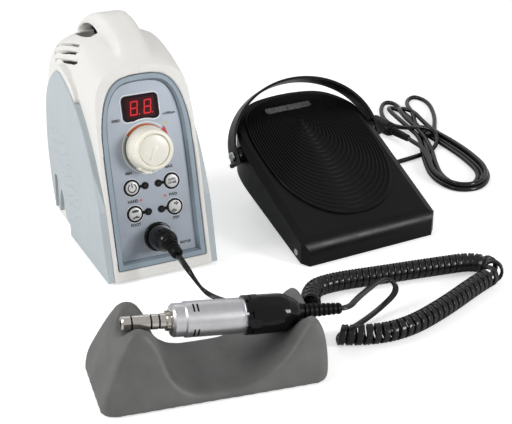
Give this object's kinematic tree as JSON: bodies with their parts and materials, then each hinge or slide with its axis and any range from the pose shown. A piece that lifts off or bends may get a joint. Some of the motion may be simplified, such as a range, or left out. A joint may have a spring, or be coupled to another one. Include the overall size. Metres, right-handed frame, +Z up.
{
  "type": "dental lab micromotor",
  "caption": "Bench micromotor set: sloping control unit with carrying handle and speed knob, motor handpiece on a curly lead, scooped rest, and foot pedal with ribbed treadle and strap.",
  "frame": {"origin": "centre of the control unit's sole, on the bench", "axes": "+Z up, -Y the way the control unit's panel faces, +X to the viewer's right"},
  "size_m": [0.4566, 0.4047, 0.1716],
  "materials": {
    "white_shell": "satin moulded white plastic",
    "blue_cover": "satin blue-grey plastic",
    "bezel": "satin blue-grey plastic",
    "panel_film": "silvery satin film with printed marks",
    "window": "smoked red acrylic",
    "digits": "dark display block with segments",
    "cream": "glossy cream plastic",
    "pearl": "pearly cap",
    "silver_cap": "satin silver caps with printed signs",
    "black_soft": "black moulded rubber",
    "black_hard": "black satin plastic",
    "black_gloss": "polished black",
    "lamp": "unlit lamp lens",
    "board": "green circuit board",
    "iron": "laminated core with wound coil",
    "steel": "bright steel",
    "chrome": "polished",
    "satin_alu": "satin anodised",
    "brass": "carbon and brass",
    "grey_rest": "matte mottled grey",
    "cord": "black cord jacket",
    "plate": "bright bare plate"
  },
  "bodies": {
    "control_unit_rest_and_pedal_base": {"case_left": "white_shell", "case_right": "white_shell", "side_cover_left": "blue_cover", "side_cover_right": "blue_cover", "front_bezel": "bezel", "front_panel": "panel_film", "display_window": "window", "display_module": "digits", "button_surrounds": "black_soft", "indicator_lamps": "lamp", "front_board": "board", "speed_potentiometer": "steel", "motor_socket": "black_gloss", "main_board": "board", "transformer": "iron", "base_plate": "black_hard", "rubber_feet": "black_soft", "rear_panel": "black_hard", "mains_inlet": "black_hard", "mains_switch": "black_hard", "pedal_socket": "black_hard", "case_screws": "steel", "motor_plug": "black_soft", "panel_lead": "cord", "curly_cord": "cord", "handpiece_lead": "cord", "handpiece_rest": "grey_rest", "pedal_base": "black_hard", "return_springs": "steel", "sensor_board": "board", "lead_grommet": "black_soft", "pedal_cord": "cord", "cord_hank": "cord", "cord_tie": "black_soft", "pedal_plug": "black_soft", "plug_barrel": "chrome"},
    "speed_knob": {"speed_knob": "cream", "knob_cap": "pearl", "knob_shaft": "steel"},
    "power_button": {"power_button": "silver_cap"},
    "cruise_button": {"cruise_button": "silver_cap"},
    "source_button": {"source_button": "silver_cap"},
    "direction_button": {"direction_button": "silver_cap"},
    "mains_rocker": {"mains_rocker": "black_gloss"},
    "handpiece": {"nose_tube": "chrome", "toothed_collar": "chrome", "motor_housing": "satin_alu", "rear_sleeve": "black_gloss", "strain_relief": "black_soft", "stator_magnet": "iron", "carbon_brushes": "brass", "motor_bearings": "steel"},
    "rotor": {"motor_shaft": "steel", "armature": "iron"},
    "treadle": {"treadle": "black_hard", "treadle_pad": "black_soft", "label_plate": "plate", "hinge_pin": "steel", "strap_screws": "steel"},
    "carrying_strap": {"carrying_strap": "black_hard"}
  },
  "joints": [
    {"name": "knob_turn", "type": "hinge", "parent": "control_unit_rest_and_pedal_base", "child": "speed_knob", "pos_m": [0, -0.05185, 0.09049], "axis": [0, -0.9688, 0.2478], "range_deg": [-290, 0]},
    {"name": "power_button_press", "type": "slide", "parent": "control_unit_rest_and_pedal_base", "child": "power_button", "axis": [0, 0.9688, -0.2478], "range_m": [0, 0.0008], "stiffness_N_per_m": 400, "springref_m": -0.002},
    {"name": "cruise_button_press", "type": "slide", "parent": "control_unit_rest_and_pedal_base", "child": "cruise_button", "axis": [0, 0.9688, -0.2478], "range_m": [0, 0.0008], "stiffness_N_per_m": 400, "springref_m": -0.002},
    {"name": "source_button_press", "type": "slide", "parent": "control_unit_rest_and_pedal_base", "child": "source_button", "axis": [0, 0.9688, -0.2478], "range_m": [0, 0.0008], "stiffness_N_per_m": 400, "springref_m": -0.002},
    {"name": "direction_button_press", "type": "slide", "parent": "control_unit_rest_and_pedal_base", "child": "direction_button", "axis": [0, 0.9688, -0.2478], "range_m": [0, 0.0008], "stiffness_N_per_m": 400, "springref_m": -0.002},
    {"name": "mains_rocker_tilt", "type": "hinge", "parent": "control_unit_rest_and_pedal_base", "child": "mains_rocker", "pos_m": [0, 0.0735, 0.051], "axis": [1, 0, 0], "range_deg": [0, 14]},
    {"name": "handpiece_lift", "type": "slide", "parent": "control_unit_rest_and_pedal_base", "child": "handpiece", "axis": [0, 0, 1], "range_m": [0, 0.06]},
    {"name": "rotor_spin", "type": "hinge", "parent": "handpiece", "child": "rotor", "pos_m": [-0.07647, -0.19764, 0.045], "axis": [0.9855, -0.1438, -0.0906], "continuous": true},
    {"name": "treadle_press", "type": "hinge", "parent": "control_unit_rest_and_pedal_base", "child": "treadle", "pos_m": [0.15269, -0.09312, 0.0085], "axis": [-0.9982, -0.0593, 0], "range_deg": [0, 4], "stiffness_Nm_per_rad": 5, "springref_deg": -6.88, "deforming": ["return_springs"]},
    {"name": "strap_swing", "type": "hinge", "parent": "treadle", "child": "carrying_strap", "pos_m": [0.14753, -0.00637, 0.0525], "axis": [0.9982, 0.0593, 0], "range_deg": [-60, 100]}
  ]
}
